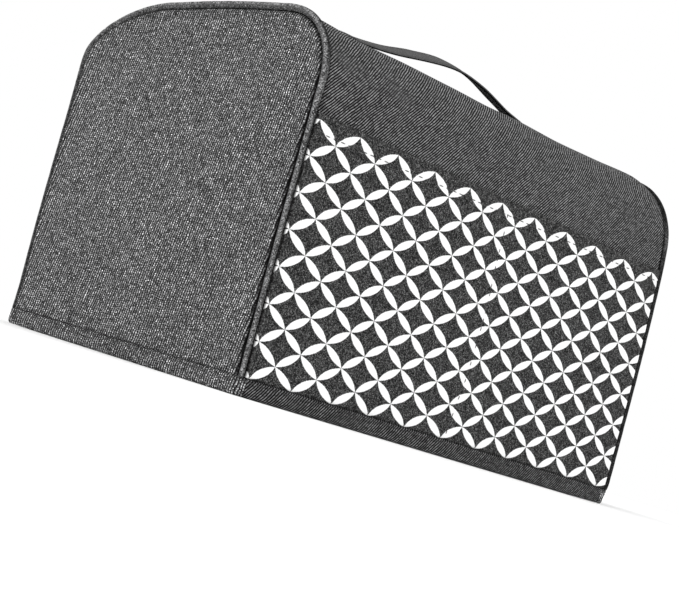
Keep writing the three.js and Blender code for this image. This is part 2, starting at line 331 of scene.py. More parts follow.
def panel_grid():
    """(y, z, distance from border, nearest arc length, hem share) of an end panel.

    Above the hem a patch stretched between the border's front, roof and back
    stretches; the hem's rows run level below it.
    """
    start = 9.4
    steep = np.abs(P_NZ) < np.abs(P_NY)
    s_front = P_S[np.argmax(~steep)]
    s_back = P_S[len(P_S) - 1 - np.argmax(~steep[::-1])]
    b = crowd(s_front - start, EDGE_STEPS, 1.9) / (s_front - start)
    a = crowd(DEPTH - 2 * PANEL_INSET, EDGE_STEPS, 1.9) / (DEPTH - 2 * PANEL_INSET)

    def border(s):
        return np.stack(profile_at(s, -PANEL_INSET), -1)

    left = border(start + b * (s_front - start))[:, None]
    right = border(GIRTH - start - b * (GIRTH - start - s_back))[:, None]
    top = border(s_front + a * (s_back - s_front))[None]
    A, B = a[None, :, None], b[:, None, None]
    low = left[0, 0] + (right[0, 0] - left[0, 0]) * A
    grid = (
        (1 - B) * low + B * top + (1 - A) * left + A * right
        - ((1 - A) * (1 - B) * left[0, 0] + A * (1 - B) * right[0, 0]
           + (1 - A) * B * left[-1, 0] + A * B * right[-1, 0])
    )
    dense = np.arange(start, GIRTH - start, 0.5)
    edge = border(dense)
    flat = grid.reshape(-1, 2)
    dist = np.empty(len(flat))
    near = np.empty(len(flat))
    for i in range(0, len(flat), 2000):
        d = np.hypot(flat[i : i + 2000, None, 0] - edge[None, :, 0], flat[i : i + 2000, None, 1] - edge[None, :, 1])
        k = d.argmin(1)
        dist[i : i + 2000] = d[np.arange(len(k)), k]
        near[i : i + 2000] = dense[k]
    dist = dist.reshape(grid.shape[:2])
    dist[:, 0] = dist[:, -1] = 0
    dist[-1, :] = 0
    return a, grid, dist, near.reshape(grid.shape[:2])


PANEL = panel_grid()


def hem_plan(side, a, z, out):
    """Plan position (x, y) of an end panel's hem, which wraps round both corners."""
    width = DEPTH - 2 * PANEL_INSET
    front = -DEPTH / 2 + FRONT_LEAN * z / 155.4
    back = DEPTH / 2 + BACK_LEAN * z / 163.4
    corner = HEM_CORNER if out >= 0 else CLOTH + 0.15
    arc = math.pi / 2 * corner
    lap = HEM_WRAP - corner  # the straight stretch along the front or the back
    d = a * width
    reach = 12.0

    def path(d_from_edge, gap):
        target = arc + (reach + gap)
        return np.where(d_from_edge < reach, d_from_edge * (target + lap) / reach - lap, d_from_edge + target - reach)

    gap = PANEL_INSET - corner
    half = d <= width / 2
    q = np.where(half, path(d, gap), path(width - d, gap))
    ang = np.clip(q / corner, 0, math.pi / 2)
    r = corner + out
    cx = side * (LENGTH / 2 - corner)
    x_arc = cx + side * (r * np.sin(ang) - np.maximum(-q, 0))
    run = np.maximum(q - arc, 0)
    y_front = front + corner - r * np.cos(ang) + run
    y_back = back - corner + r * np.cos(ang) - run
    # Both halves meet at the middle at the same place.
    share = np.clip(d / width, 0, 1)
    middle = (back - front) / 2 - (width / 2)
    y = np.where(half, y_front + middle * 2 * share, y_back - middle * 2 * (1 - share))
    return x_arc, y


def build_end_panel(side, name):
    a, grid, dist, near = PANEL
    phase = 0.0 if side < 0 else 2.4
    y, z = grid[..., 0], grid[..., 1]
    face = (
        -turn(dist, TURN)
        + 0.28 * np.exp(-(((dist - 2.7) / 0.9) ** 2))
        + puckers(dist, near, phase)
        + wave(y * 0.9, z, 1.0 + phase) * 1.1 * ease(dist / 14) * (0.4 + 0.6 * ease((z - 9) / 25))
    )
    outer = np.stack([side * (LENGTH / 2 + face), y, z], -1)
    inner_face = wave(y * 0.9, z, 1.0 + phase) * 1.1 * ease(dist / 14) * (0.4 + 0.6 * ease((z - 9) / 25))
    inner = np.stack([side * (LENGTH / 2 - CLOTH + inner_face), y, z], -1)
    rows_o, rows_i = [], []
    heights = [h for h in HEM_Z if h < 8.9]
    for h in heights:
        out = float(hem_out(h))
        swell = 0.25 * np.sin(a * 37.0 + 1.1 * h) * 0.35
        x, yy = hem_plan(side, a, h, out)
        rows_o.append(np.stack([x + side * swell, yy, np.full_like(yy, h)], -1))
        x, yy = hem_plan(side, a, h, -CLOTH + 0.5 * (1 - ease(h / 0.8)))
        rows_i.append(np.stack([x, yy, np.full_like(yy, h)], -1))
    outer = np.concatenate([np.stack(rows_o), outer])
    inner = np.concatenate([np.stack(rows_i), inner])
    verts, faces = skin(soften(outer), soften(inner))
    n_hem = len(heights)
    # Painted shade: the seam mask darkens the end panel in the groove along its border, less over the shoulders, with a
    # soft shaded band inwards, and in a line along the hem's top fold.
    seam = np.zeros(outer.shape[:2])
    high = ease((z - 140) / 40)
    seam[n_hem:] = np.clip((1 - 0.5 * high) * np.exp(-((dist / 0.92) ** 3)) + 0.38 * np.exp(-dist / 2.4), 0, 1)
    Z = outer[..., 2]
    seam = np.maximum(seam, 0.88 * np.exp(-(((Z - 9.1) / 0.6) ** 2)))
    cloth = np.stack([outer[..., 1] + np.where(outer[..., 1] < 0, -1, 1) * np.maximum(LENGTH / 2 - np.abs(outer[..., 0]), 0) * (Z < 9), Z, Z], -1)
    cloth = cloth.reshape(-1, 3)
    # The inner face's seam value of 0.35 is an even painted shade inside the cover.
    return make_object(
        name, verts, faces,
        {"cloth": np.concatenate([cloth, cloth]), "seam": np.concatenate([seam.ravel(), np.full(seam.size, 0.35)])},
        [HEATHER],
    )


def build_piping(side, name):
    parts = new_parts()
    s = np.arange(BEAD_BOTTOM, GIRTH - BEAD_BOTTOM + 0.5, 1.0)
    # The left bead is fuller over the shoulders and the roof than down the two sides; the right one keeps one size.
    full = BEAD_FULL if side < 0 else BEAD_RADIUS
    height = np.interp(s, P_S, P_Z)
    size = BEAD_RADIUS + (full - BEAD_RADIUS) * ease((height - 122) / 50)
    y, z = profile_at(s, size - BEAD_RADIUS)
    path = np.stack([np.full_like(s, side * (LENGTH / 2 - BEAD_INSET)), y, z], -1)
    end = np.minimum(s - s[0], s[-1] - s)
    radii = size * (0.94 + 0.06 * ease(end / 0.9)) * (1 + 0.012 * np.sin(s / 2.9) + 0.012 * np.sin(s / 1.7 + 1))
    sides = 16
    verts, quads, caps = tube(path, radii, sides, np.array([side * 1.0, 0.0, 0.0]))
    quads = face_out(verts, quads)
    around = np.tile(np.arange(sides) / sides * 2 * math.pi * BEAD_RADIUS, len(s))
    coord = np.stack([around, np.repeat(s, sides), np.zeros(len(around))], -1)
    grow(parts, verts, list(quads) + caps)
    bead_n = len(verts)
    # The tape by which the bead's cloth is sewn in, down between the panels.
    outer, inner = [], []
    for from_face, down, lean in ((2.1, 0.85, 0.6), (2.6, 1.4, 0.7), (2.95, 2.1, 1.0), (2.95, 5.5, 1.0)):
        for store, off in ((outer, 0.09), (inner, -0.09)):
            yy, zz = profile_at(s, -down + off * math.sqrt(1 - lean * lean))
            store.append(np.stack([np.full_like(s, side * (LENGTH / 2 - from_face - off * lean)), yy, zz], -1))
    outer, inner = np.stack(outer, 1), np.stack(inner, 1)
    v2, f2 = skin(outer, inner)
    grow(parts, v2, f2)
    verts = soften(np.concatenate(parts["v"]))
    coords = np.concatenate([coord, np.zeros((len(v2), 3))])
    # The bead is painted darker towards both grooves, more on the side of the long strip: painted shade where the
    # grooves shade it.
    centre = np.repeat(path, sides, axis=0)
    off = (verts[:bead_n] - soften(centre)) / np.repeat(size, sides)[:, None]
    normal = np.stack([np.interp(s, P_S, P_NY), np.interp(s, P_S, P_NZ)], -1)
    toward = np.einsum("ij,ij->i", off[:, 1:], np.repeat(normal, sides, axis=0)) - side * off[:, 0]
    high = np.repeat(ease((height - 140) / 45), sides)
    shade = (0.6 - 0.45 * high) * ease((toward - 0.1) / 1.2) + 0.8 * (1 - 0.5 * high) * ease((-toward - 0.95) / 0.45)
    # Over the shoulders and the roof the painted shade is darkest on the side beside the long strip.
    shade = np.maximum(shade, 0.97 * high * ease((toward - 0.3) / 0.35))
    # Painted shade: the right bead is painted nearly black towards the long strip below the shoulders, where it lies in
    # shadow.
    if side > 0:
        shade = np.maximum(shade, (0.92 - 0.57 * high) * ease((toward + 0.2) / 0.9))
    # The sewn-in tape down between the panels gets the full painted shade.
    seam = np.concatenate([shade, np.ones(len(v2))])
    return make_object(name, verts, parts["f"], {"cloth": coords, "seam": seam}, [PIPING])


def pocket_stitch_height(x):
    return 135.0 + 3.0 * (x + LEFT_X) / 290.0


def divider_x(z):
    """x of the seam that parts the pocket in two; it wanders a little."""
    return np.interp(z, [12, 47, 85, 130, 142], [144.0, 147.8, 149.0, 147.8, 146.5]) - LEFT_X


def pocket_lift(x, z):
    """Distance of the pocket's outer face before the front."""
    t = MAIN_END - np.abs(x)
    across = np.clip((x + MAIN_END) / (2 * MAIN_END), 0, 1)
    gape = 0.7 * np.abs(np.sin(2 * math.pi * across)) * ease(((z - POCKET_BOTTOM) / (POCKET_TOP - POCKET_BOTTOM) - 0.72) / 0.28)
    line = pocket_stitch_height(x)
    lift = GAP + gape + POCKET_CLOTH
    lift = lift + 0.3 * ease((z - line + 0.3) / 0.8)
    lift = lift - 0.32 * np.exp(-(((z - line) / 0.55) ** 2))
    lift = lift - 0.38 * np.exp(-(((x - divider_x(z)) / 0.8) ** 2)) * ease((z - 9) / 4)
    lift = lift + 0.22 * np.exp(-(((np.abs(x - divider_x(z)) - 4.5) / 3.0) ** 2)) * ease((z - 20) / 30)
    lift = lift - 0.45 * (1 - ease((z - POCKET_BOTTOM) / 1.3))
    lift = lift - 0.35 * (1 - ease((POCKET_TOP - z) / 0.5))
    return lift


def pocket_point(x, z, lift):
    s = z
    base = -turn(np.maximum(MAIN_END - np.abs(x), 0), MAIN_TURN) + wave(x, s) * ease((MAIN_END - np.abs(x)) / 12) + puckers(np.maximum(MAIN_END - np.abs(x), 0), s)
    base = base * ease((z - 8.8) / 1.2)
    y, zz = profile_at(s, base)
    return soften(np.stack([x, y - lift, zz], -1))


# How the print lies on the pocket: a plain repeat of four petals between
# crossing circles, seven rows up and a little over ten repeats along, so each
# repeat is longer along the cover than it is high.
PRINT_PITCH, PRINT_ROW, PRINT_ROWS = 27.6, 18.9, 7
PRINT_START = 2.0  # from the left seam to the first crossing
PRINT_TOP = 141.5
PETAL = 0.14  # half-width of a petal, whose length is 1


def print_coords(x, z):
    """u counts repeats along the cover from the left, v rows up from the lowest."""
    u = (x + MAIN_END - PRINT_START) / PRINT_PITCH
    v = PRINT_ROWS - (PRINT_TOP - z) / PRINT_ROW
    return u, v


def build_pocket():
    end = MAIN_END
    xs = crowd(2 * end, EDGE_STEPS, 2.0) - end
    xs = with_extra(xs, 147.0 - LEFT_X, 6.0, 0.6)
    zs = crowd(POCKET_TOP - POCKET_BOTTOM, [0, 0.2, 0.5, 0.9, 1.4, 2.2, 3.3], 2.0) + POCKET_BOTTOM
    zs = with_extra(zs, 136.5, 3.6, 0.45)
    Z, X = np.meshgrid(zs, xs, indexing="ij")
    lift = pocket_lift(X, Z)
    outer = pocket_point(X, Z, lift)
    inner = pocket_point(X, Z, np.minimum(lift - 0.35, np.maximum(lift - POCKET_CLOTH, 0.12)))
    verts, faces = skin(outer, inner)
    u, v = print_coords(X, Z)
    pattern = np.stack([u + v, u - v, v], -1).reshape(-1, 3)
    cloth = np.stack([X, Z, Z], -1).reshape(-1, 3)
    # Painted shade: the seam mask darkens the pocket's edges beside the beads, more on the right, and in a line along
    # its bottom edge.
    seam = np.exp(-(((end - np.abs(X)) / 0.4) ** 2)) * np.where(X < 0, 0.8, 1.0)
    seam = np.maximum(seam, 0.4 * np.exp(-(((Z - POCKET_BOTTOM) / 0.5) ** 2)))
    back = np.zeros_like(pattern)
    back[:, 2] = -5.0
    return make_object(
        "pocket_cloth", verts, faces,
        {"cloth": np.concatenate([cloth, cloth]), "print": np.concatenate([pattern, back]),
         "seam": np.concatenate([seam.ravel(), np.zeros(seam.size)])},
        [PRINT],
    )


# ---- carrying strap -------------------------------------------------------
STRAP_WIDTH, STRAP_THICK, STRAP_Y, STRAP_TAB = 20.0, 1.6, -8.6, 13.0
STRAP_STATIONS = [
    (-123.5, 196.9, 2), (-103.5, 198.6, 7), (-81.5, 207.8, 12), (-57.5, 209.2, 14), (-33.5, 212.5, 14), (-9.5, 217.8, 16.4),
    (14.5, 221.5, 18), (38.5, 220.0, 21), (62.5, 213.8, 20), (86.5, 207.8, 14), (106.5, 199.6, 5), (118.0, 198.6, 2),
]


def smooth_path(points, per=60):
    """A smooth curve through points, with knots spaced by the root of the distance."""
    pts = np.asarray(points, float)
    pts = np.concatenate([[2 * pts[0] - pts[1]], pts, [2 * pts[-1] - pts[-2]]])
    out = []
    for i in range(1, len(pts) - 2):
        p0, p1, p2, p3 = pts[i - 1 : i + 3]
        d0, d1, d2 = (np.linalg.norm(b - a) ** 0.5 for a, b in ((p0, p1), (p1, p2), (p2, p3)))
        t1 = ((p1 - p0) / d0 - (p2 - p0) / (d0 + d1) + (p2 - p1) / d1) * d1
        t2 = ((p2 - p1) / d1 - (p3 - p1) / (d1 + d2) + (p3 - p2) / d2) * d1
        t = np.linspace(0, 1, per, endpoint=False)[:, None]
        out.append(
            (2 * t**3 - 3 * t**2 + 1) * p1 + (t**3 - 2 * t**2 + t) * t1
            + (-2 * t**3 + 3 * t**2) * p2 + (t**3 - t**2) * t2
        )
    return np.concatenate(out + [pts[-2:-1]])


def strap_frame():
    line = smooth_path([(a, h) for a, h, _ in STRAP_STATIONS])
    s = np.concatenate([[0], np.cumsum(np.hypot(*np.diff(line, axis=0).T))])
    return s, line


STRAP_S, STRAP_LINE = strap_frame()
STRAP_RUN = float(STRAP_S[-1])


def strap_point(run, across, out):
    """Point of the strap: run along it, across its width, out from its lower face."""
    run, across, out = np.broadcast_arrays(np.asarray(run, float), across, out)
    u = np.clip(run, 0, STRAP_RUN)
    x, z = np.interp(u, STRAP_S, STRAP_LINE[:, 0]), np.interp(u, STRAP_S, STRAP_LINE[:, 1])
    e = 0.4
    dx = np.interp(u + e, STRAP_S, STRAP_LINE[:, 0]) - np.interp(u - e, STRAP_S, STRAP_LINE[:, 0])
    dz = np.interp(u + e, STRAP_S, STRAP_LINE[:, 1]) - np.interp(u - e, STRAP_S, STRAP_LINE[:, 1])
    size = np.hypot(dx, dz)
    dx, dz = dx / size, dz / size
    stations = np.array(STRAP_STATIONS, float)
    k = np.clip(np.searchsorted(stations[:, 0], x) - 1, 0, len(stations) - 2)
    f = ease((x - stations[k, 0]) / (stations[k + 1, 0] - stations[k, 0]))
    roll = np.radians(stations[k, 2] + (stations[k + 1, 2] - stations[k, 2]) * f)
    flat = ease(np.maximum(-run, run - STRAP_RUN) / 1.5 + 0.5)
    roll = roll * (1 - flat)
    dz, dx = dz * (1 - flat), dx * (1 - flat) + flat
    size = np.hypot(dx, dz)
    dx, dz = dx / size, dz / size
    x = x + np.where(run < 0, run, np.where(run > STRAP_RUN, run - STRAP_RUN, 0))
    tangent = np.stack([dx, 0 * dx, dz], -1)
    normal = np.stack([-dz, 0 * dx, dx], -1)
    across_dir = np.stack([0 * dx, np.cos(roll), 0 * dx], -1) + normal * np.sin(roll)[..., None]
    out_dir = np.cross(tangent, across_dir)
    p = np.stack([x, np.full_like(x, STRAP_Y), z + GAP + 0.5], -1)
    return p + across_dir * across[..., None] + out_dir * out[..., None]


def build_strap():
    runs = crowd(STRAP_RUN + 2 * STRAP_TAB, [0, 0.2, 0.5, 1.0, 1.8, 3.0], 1.6) - STRAP_TAB
    w = crowd(STRAP_WIDTH, [0, 0.12, 0.35, 0.7, 1.2, 1.9, 2.7, 3.6], 1.6) - STRAP_WIDTH / 2
    R, W = np.meshgrid(runs, w, indexing="ij")
    t = STRAP_WIDTH / 2 - np.abs(W)
    te = np.minimum(R - runs[0], runs[-1] - R)
    edge = np.minimum(t, te)
    top = STRAP_THICK - 0.55 * (1 - ease(edge / 0.7)) - 0.28 * np.exp(-(((t - 2.7) / 0.5) ** 2)) * ease(te / 2)
    top = top - 0.15 * ease((t - 3.2) / 2)
    low = 0.55 * (1 - ease(edge / 0.7)) + 0.0 * t
    mid = STRAP_THICK / 2
    outer = strap_point(R, W, np.maximum(top, mid + 0.12))
    inner = strap_point(R, W, np.minimum(low, mid - 0.12))
    verts, faces = skin(outer, inner)
    cloth = np.stack([W, R, R], -1).reshape(-1, 3)
    under = np.concatenate([np.zeros(W.size), np.ones(W.size)])
    return make_object(
        "strap_cloth", verts, faces,
        {"cloth": np.concatenate([cloth, cloth]), "under": under, "seam": np.zeros(2 * W.size)},
        [STRAP],
    )


# ---- stitches -------------------------------------------------------------
def stitches(parts, place, start, end, length, gap, radius, lift=0.2):
    """Threads along place(d), which gives the surface point at distance d, from
    start to end; each lies on the cloth and dips into it at both ends."""
    n = max(1, int(round((end - start) / (length + gap))))
    pitch = (end - start) / n
    for i in range(n):
        d = np.linspace(start + i * pitch + gap / 2, start + (i + 1) * pitch - gap / 2, 6)
        p, normal = place(d)
        tau = np.linspace(-1, 1, 6)
        p = p + normal * (lift - (lift + 0.75 * radius) * np.abs(tau) ** 3)[:, None]
        radii = radius * np.sqrt(np.clip(1 - 0.75 * np.abs(tau) ** 4, 0.2, 1))
        up = normal.mean(0)
        verts, quads, caps = tube(p, radii, 6, up / np.linalg.norm(up))
        a, b, c, dd = (verts[quads[:, k]] - verts.mean(0) for k in range(4))
        if np.einsum("ij,ij->", a, np.cross(b, c)) < 0:
            quads = quads[:, ::-1]
            caps = [f[::-1] for f in caps]
        grow(parts, verts, [list(q) for q in quads] + caps)


def surface(fn, x, s, e=0.3, flip=1.0):
    """Points and unit normals of a surface function of two parameters."""
    p = fn(x, s)
    n = np.cross(fn(x + e, s) - fn(x - e, s), fn(x, s + e) - fn(x, s - e))
    n /= np.linalg.norm(n, axis=-1, keepdims=True)
    return p, n * flip


def build_thread(name, parts, material):
    return make_object(name, np.concatenate(parts["v"]), parts["f"], None, [material])


def build_hem_stitches():
    parts = new_parts()
    end = MAIN_END - 1.5
    for s in (HEM_STITCH_Z, GIRTH - HEM_STITCH_Z):
        flat = lambda d, s=s: (
            main_outer(d, np.full_like(d, s)),
            np.tile([0.0, -1.0 if s < 100 else 1.0, 0.0], (len(d), 1)),
        )
        stitches(parts, flat, -end, end, 3.0, 0.8, 0.2, lift=0.1)
    for side in (-1, 1):
        def on_end(d, side=side):
            a = d / (DEPTH - 2 * PANEL_INSET)
            x, y = hem_plan(side, a, HEM_STITCH_Z, float(hem_out(HEM_STITCH_Z)))
            x2, y2 = hem_plan(side, a, HEM_STITCH_Z, float(hem_out(HEM_STITCH_Z)) + 1.0)
            swell = 0.25 * np.sin(a * 37.0 + 1.1 * HEM_STITCH_Z) * 0.35
            z = np.full_like(x, HEM_STITCH_Z)
            p = soften(np.stack([x + side * swell, y, z], -1))
            n = np.stack([x2 - x, y2 - y, 0 * z], -1)
            return p, n / np.linalg.norm(n, axis=1, keepdims=True)
        stitches(parts, on_end, 1.0, DEPTH - 2 * PANEL_INSET - 1.0, 3.0, 0.8, 0.2, lift=0.1)
    return build_thread("hem_stitches", parts, THREAD)


def build_pocket_stitches():
    parts = new_parts()
    end = MAIN_END - 2.0

    def out(p):
        return np.tile([0.0, -0.9986, 0.052], (len(p), 1))

    def along(d):
        z = pocket_stitch_height(d)
        p = pocket_point(d, z, pocket_lift(d, z))
        return p, out(p)

    def up(d):
        x = divider_x(d)
        p = pocket_point(x, d, pocket_lift(x, d))
        return p, out(p)

    stitches(parts, along, -end, end, 3.2, 1.9, 0.24, lift=0.16)
    stitches(parts, up, 11.0, 143.6, 2.6, 2.4, 0.24, lift=0.16)
    return build_thread("pocket_stitches", parts, POCKET_THREAD)


def build_strap_stitches():
    parts = new_parts()
    top = STRAP_THICK - 0.28
    for w in (-STRAP_WIDTH / 2 + 2.7, STRAP_WIDTH / 2 - 2.7):
        def line(d, w=w):
            p = strap_point(d, w, top)
            q = strap_point(d, w, top + 1.0)
            return p, q - p
        stitches(parts, line, -STRAP_TAB + 3, STRAP_RUN + STRAP_TAB - 3, 3.0, 0.8, 0.2, lift=0.12)
    # Across the sewn-down ends: a box at each.
    for run in (-STRAP_TAB + 2.2, -1.2, STRAP_RUN + 1.2, STRAP_RUN + STRAP_TAB - 2.2):
        def across(d, run=run):
            t = STRAP_WIDTH / 2 - np.abs(d)
            h = STRAP_THICK - 0.15 * ease((t - 3.2) / 2)
            p = strap_point(np.full_like(d, run), d, h)
            q = strap_point(np.full_like(d, run), d, h + 1.0)
            return p, q - p
        stitches(parts, across, -7.0, 7.0, 2.6, 0.7, 0.2, lift=0.1)
    return build_thread("strap_stitches", parts, STRAP_THREAD)


# ---- materials ------------------------------------------------------------
class Net:
    """A short way to write a material's nodes."""

    def __init__(self, name):
        self.mat = bpy.data.materials.new(name)
        self.mat.use_nodes = True
        self.tree = self.mat.node_tree
        self.bsdf = self.tree.nodes["Principled BSDF"]

    def put(self, socket, value):
        if isinstance(value, bpy.types.NodeSocket):
            self.tree.links.new(value, socket)
        else:
            socket.default_value = value

    def node(self, kind, **props):
        n = self.tree.nodes.new(kind)
        for k, v in props.items():
            setattr(n, k, v)
        return n

    def math(self, op, a, b=0.0, c=0.0, clamp=False):
        n = self.node("ShaderNodeMath", operation=op, use_clamp=clamp)
        for socket, value in zip(n.inputs, (a, b, c)):
            self.put(socket, value)
        return n.outputs[0]

    def add(self, a, b): return self.math("ADD", a, b)
    def sub(self, a, b): return self.math("SUBTRACT", a, b)
    def mul(self, a, b): return self.math("MULTIPLY", a, b)
    def floor(self, a): return self.math("FLOOR", a)
    def frac(self, a): return self.math("FRACT", a)

    def lerp(self, f, a, b):
        n = self.node("ShaderNodeMix", data_type="FLOAT", clamp_factor=True)
        self.put(n.inputs[0], f)
        self.put(n.inputs[2], a)
        self.put(n.inputs[3], b)
        return n.outputs[0]

    def attribute(self, name):
        return self.node("ShaderNodeAttribute", attribute_type="GEOMETRY", attribute_name=name)

    def split(self, vector):
        n = self.node("ShaderNodeSeparateXYZ")
        self.put(n.inputs[0], vector)
        return n.outputs

    def vector(self, x, y=0.0, z=0.0):
        n = self.node("ShaderNodeCombineXYZ")
        for socket, value in zip(n.inputs, (x, y, z)):
            self.put(socket, value)
        return n.outputs[0]

    def random(self, x, y=0.0, z=0.0):
        n = self.node("ShaderNodeTexWhiteNoise", noise_dimensions="3D")
        self.put(n.inputs["Vector"], self.vector(self.add(x, 0.5), self.add(y, 0.5), z))
        return n.outputs["Value"]

    def noise(self, x, y, scale, detail=2.0, z=0.0):
        n = self.node("ShaderNodeTexNoise", noise_dimensions="3D")
        self.put(n.inputs["Vector"], self.vector(x, y, z))
        self.put(n.inputs["Scale"], scale)
        self.put(n.inputs["Detail"], detail)
        return n.outputs["Fac"]

    def range(self, value, a, b, c, d):
        n = self.node("ShaderNodeMapRange", clamp=True)
        for i, v in enumerate((value, a, b, c, d)):
            self.put(n.inputs[i], v)
        return n.outputs[0]

    def grey(self, value, tint=(1.0, 1.0, 1.0)):
        n = self.node("ShaderNodeCombineColor")
        for socket, k in zip(n.inputs, tint):
            self.put(socket, self.mul(value, k))
        return n.outputs[0]

    def finish(self, colour, rough, height, depth, strength=1.0):
        self.put(self.bsdf.inputs["Base Color"], colour)
        self.put(self.bsdf.inputs["Roughness"], rough)
        self.put(self.bsdf.inputs["Specular IOR Level"], 0.12)
        if height is not None:
            bump = self.node("ShaderNodeBump")
            self.put(bump.inputs["Strength"], strength)
            self.put(bump.inputs["Distance"], depth)
            self.put(bump.inputs["Height"], height)
            self.put(self.bsdf.inputs["Normal"], bump.outputs[0])
        return self.mat


def plain_weave(net, U, V, pu, pv, run_u, run_v):
    """Tone (0..1) and relief (0..1) of a plain weave with uneven yarns."""
    cu, cv = net.mul(U, 1 / pu), net.mul(V, 1 / pv)
    i, j = net.floor(cu), net.floor(cv)
    over = net.math("ABSOLUTE", net.math("MODULO", net.add(i, j), 2.0))
    warp = net.random(i, net.floor(net.add(net.mul(cv, 1 / run_v), net.mul(net.random(i, 3.0), 9.0))), 1.5)
    weft = net.random(net.floor(net.add(net.mul(cu, 1 / run_u), net.mul(net.random(j, 7.0), 9.0))), j, 2.5)
    cell = net.random(i, j, 4.5)
    tone = net.lerp(over, weft, warp)
    fu, fv = net.sub(net.frac(cu), 0.5), net.sub(net.frac(cv), 0.5)
    hu = net.sub(1.0, net.mul(net.mul(fu, fu), 4.0))
    hv = net.sub(1.0, net.mul(net.mul(fv, fv), 4.0))
    # A yarn is round across its own way and dives at both ends of its float.
    high = net.lerp(over, net.mul(hv, net.add(0.45, net.mul(hu, 0.55))), net.mul(hu, net.add(0.45, net.mul(hv, 0.55))))
    return tone, cell, high


def heather_material():
    net = Net("heather_cloth")
    U, V, _ = net.split(net.attribute("cloth").outputs["Vector"])
    seam = net.attribute("seam").outputs["Fac"]
    # The yarns wander a little.
    Uw = net.add(U, net.mul(net.sub(net.noise(U, V, 0.12, 1.0), 0.5), 1.6))
    Vw = net.add(V, net.mul(net.sub(net.noise(U, V, 0.10, 1.0, 5.0), 0.5), 1.6))
    tone, cell, high = plain_weave(net, Uw, Vw, 0.52, 0.52, 0.9, 1.1)
    # The thicker upright yarns stand out as fine ribs, broken along their length.
    rib = net.add(net.mul(Uw, net.sub(0.505, net.mul(Uw, 0.0003))), net.mul(Vw, 0.068))
    k = net.floor(rib)
    ridge = net.math("SINE", net.mul(net.frac(rib), math.pi))
    cross = net.add(net.mul(Vw, 1 / 1.2), net.mul(net.random(k, 5.0), 9.0))
    float_ = net.random(k, net.floor(cross), 6.5)
    hump = net.math("SINE", net.mul(net.frac(cross), math.pi))
    slub = net.noise(net.mul(Uw, 1.6), net.mul(Vw, 0.55), 1.0, 2.0, 2.0)
    mottle = net.noise(U, V, 0.09, 3.0, 9.0)
    shade = net.add(net.mul(tone, 0.62), net.mul(cell, 0.30))
    shade = net.add(shade, net.mul(net.sub(slub, 0.5), 0.10))
    shade = net.range(shade, 0.06, 0.88, 0.0, 1.0)
    shade = net.math("POWER", shade, 2.4)
    value = net.lerp(shade, 0.022, 0.62)
    value = net.mul(value, net.lerp(mottle, 0.90, 1.10))
    # The yarns' crowns are lighter and the dips between them darker, following the relief: partly the weave's own tone,
    # partly painted shade in the dips and painted light on the crowns.
    value = net.mul(value, net.lerp(high, 0.45, 1.15))
    value = net.mul(value, net.lerp(net.math("POWER", ridge, 3.2), 0.050, net.mul(net.lerp(float_, 1.2, 3.1), net.lerp(hump, 0.27, 1.29))))
    # Painted shade from the seam mask: darker in the grooves by the seams and the hem's fold, and evenly on the inner
    # face.
    value = net.mul(value, net.sub(1.0, net.mul(seam, 0.97)))
    relief = net.mul(net.add(high, ridge), 0.5)
    return net.finish(net.grey(value, (1.0, 1.0, 1.01)), 0.95, relief, 0.00022)


def twill_material():
    net = Net("twill_cloth")
    X, S, from_hem = net.split(net.attribute("cloth").outputs["Vector"])
    seam = net.attribute("seam").outputs["Fac"]
    Xw = net.add(X, net.mul(net.sub(net.noise(X, S, 0.10, 1.0), 0.5), 1.8))
    wale = net.sub(net.mul(Xw, 1 / 1.72), net.mul(S, 1 / 2.13))
    i = net.floor(wale)
    f = net.frac(wale)
    seg = net.floor(net.add(net.mul(S, 1 / 0.85), net.mul(net.random(i, 2.0), 8.0)))
    yarn = net.random(i, seg, 1.0)
    fine = net.random(net.floor(net.mul(X, 1 / 0.42)), net.floor(net.mul(S, 1 / 0.42)), 3.0)
    ridge = net.math("SINE", net.mul(f, math.pi))
    along = net.frac(net.add(net.mul(S, 1 / 0.85), net.mul(net.random(i, 2.0), 8.0)))
    hump = net.mul(ridge, net.add(0.7, net.mul(net.math("SINE", net.mul(along, math.pi)), 0.3)))
    mottle = net.noise(X, S, 0.10, 3.0, 4.0)
    patch = net.noise(net.mul(X, 1.0), net.mul(S, 0.7), 0.55, 2.0, 8.0)
    # In places the wales are brushed over and show less.
    brushed = net.range(net.noise(net.add(X, net.mul(S, 0.5)), net.mul(S, 1.6), 0.035, 2.0, 11.0), 0.54, 0.70, 0.0, 1.0)
    value = net.add(net.mul(yarn, 0.5), net.mul(fine, 0.25))
    value = net.add(value, net.mul(net.sub(patch, 0.5), 0.35))
    value = net.range(value, 0.02, 0.74, 0.0, 1.0)
    value = net.math("POWER", value, 1.2)
    value = net.lerp(value, 0.035, 0.19)
    # Dark gaps between the wales and light crowns, following the relief: partly the twill's own look, partly painted
    # shade in the gaps and painted light on the crowns.
    value = net.mul(value, net.lerp(net.math("POWER", ridge, 5.0), net.lerp(brushed, 0.003, 0.34), net.lerp(brushed, 2.45, 1.6)))
    value = net.mul(value, net.lerp(mottle, 0.78, 1.09))
    # The hem below is the same cloth, folded and a little darker.
    hem = net.range(from_hem, 8.9, 9.3, 1.0, 0.0)
    value = net.mul(value, net.lerp(hem, 1.0, 0.72))
    # Painted shade from the seam mask: darker in the grooves beside the beads and the hem's fold, and evenly on the
    # inner face.
    value = net.mul(value, net.sub(1.0, net.mul(seam, 0.92)))
    return net.finish(net.grey(value, (1.0, 1.0, 1.01)), 0.95, hump, 0.00025)


